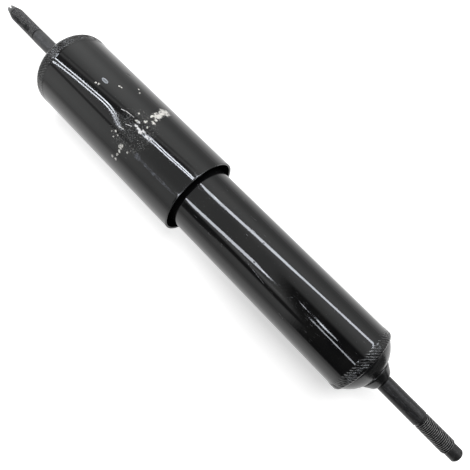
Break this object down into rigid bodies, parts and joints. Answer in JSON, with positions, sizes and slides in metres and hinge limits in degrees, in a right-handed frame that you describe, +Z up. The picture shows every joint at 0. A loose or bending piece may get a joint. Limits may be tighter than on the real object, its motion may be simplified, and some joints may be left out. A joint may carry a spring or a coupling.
{
  "type": "shock absorber",
  "caption": "Twin-tube telescopic shock absorber with a gloss black dust cover and body and a threaded mounting stem at each end.",
  "frame": {"origin": "on the damper's axis, at the middle of the lower stem's plain shank", "axes": "+X along the damper from the lower stem to the upper stem, +Z up as the damper lies on a bench"},
  "size_m": [0.4129, 0.0564, 0.0564],
  "materials": {
    "gloss_black_paint": "gloss black stoving paint, scuffed",
    "black_phosphate_steel": "black phosphate, oiled, semi-matt",
    "hard_chrome": "ground hard chrome on the rod, black phosphate on its stem",
    "bright_steel": "bright cold-rolled steel",
    "spring_steel": "drawn spring wire, oiled",
    "sintered_iron": "sintered iron, steam treated",
    "bush_bronze": "porous bronze",
    "seal_rubber": "moulded nitrile rubber",
    "ring_compound": "filled bearing plastic"
  },
  "bodies": {
    "damper_body": {"lower_stem": "black_phosphate_steel", "base_cap": "gloss_black_paint", "base_weld": "gloss_black_paint", "reserve_tube": "gloss_black_paint", "pressure_tube": "bright_steel", "base_valve_body": "sintered_iron", "base_valve_pin": "bright_steel", "base_valve_retainer": "bright_steel", "base_check_spring": "spring_steel", "compression_spring": "spring_steel", "rod_guide": "sintered_iron", "guide_bush": "bush_bronze", "guide_o_ring": "seal_rubber", "rod_seal": "seal_rubber", "garter_spring": "spring_steel", "seal_cap": "bright_steel"},
    "piston_ring": {"piston_ring": "ring_compound"},
    "rod_assembly": {"piston_rod": "hard_chrome", "dust_cover": "gloss_black_paint", "dust_cover_cap": "gloss_black_paint", "dust_cover_weld": "gloss_black_paint", "rebound_bumper": "seal_rubber", "stop_washer": "bright_steel", "piston": "sintered_iron", "piston_nut": "bright_steel", "piston_check_spring": "spring_steel", "rebound_spring": "spring_steel"},
    "piston_check_plate": {"piston_check_plate": "bright_steel"},
    "rebound_valve": {"rebound_disc": "bright_steel", "rebound_spring_seat": "bright_steel"},
    "base_check_plate": {"base_check_plate": "bright_steel"},
    "compression_disc": {"compression_disc": "bright_steel"}
  },
  "joints": [
    {"name": "rod_slide", "type": "slide", "parent": "damper_body", "child": "piston_ring", "axis": [1, 0, 0], "range_m": [-0.082, 0.008]},
    {"name": "rod_spin", "type": "hinge", "parent": "piston_ring", "child": "rod_assembly", "pos_m": [0.16, 0, 0], "axis": [1, 0, 0], "continuous": true},
    {"name": "piston_check_lift", "type": "slide", "parent": "rod_assembly", "child": "piston_check_plate", "axis": [1, 0, 0], "range_m": [0, 0.0009], "stiffness_N_per_m": 100, "springref_m": -0.001, "deforming": ["piston_check_spring"]},
    {"name": "rebound_lift", "type": "slide", "parent": "rod_assembly", "child": "rebound_valve", "axis": [-1, 0, 0], "range_m": [0, 0.0015], "stiffness_N_per_m": 150, "springref_m": -0.001, "deforming": ["rebound_spring"]},
    {"name": "base_check_lift", "type": "slide", "parent": "damper_body", "child": "base_check_plate", "axis": [1, 0, 0], "range_m": [0, 0.001], "stiffness_N_per_m": 200, "springref_m": -0.001, "deforming": ["base_check_spring"]},
    {"name": "compression_lift", "type": "slide", "parent": "damper_body", "child": "compression_disc", "axis": [-1, 0, 0], "range_m": [0, 0.0008], "stiffness_N_per_m": 60, "springref_m": -0.001, "deforming": ["compression_spring"]}
  ]
}
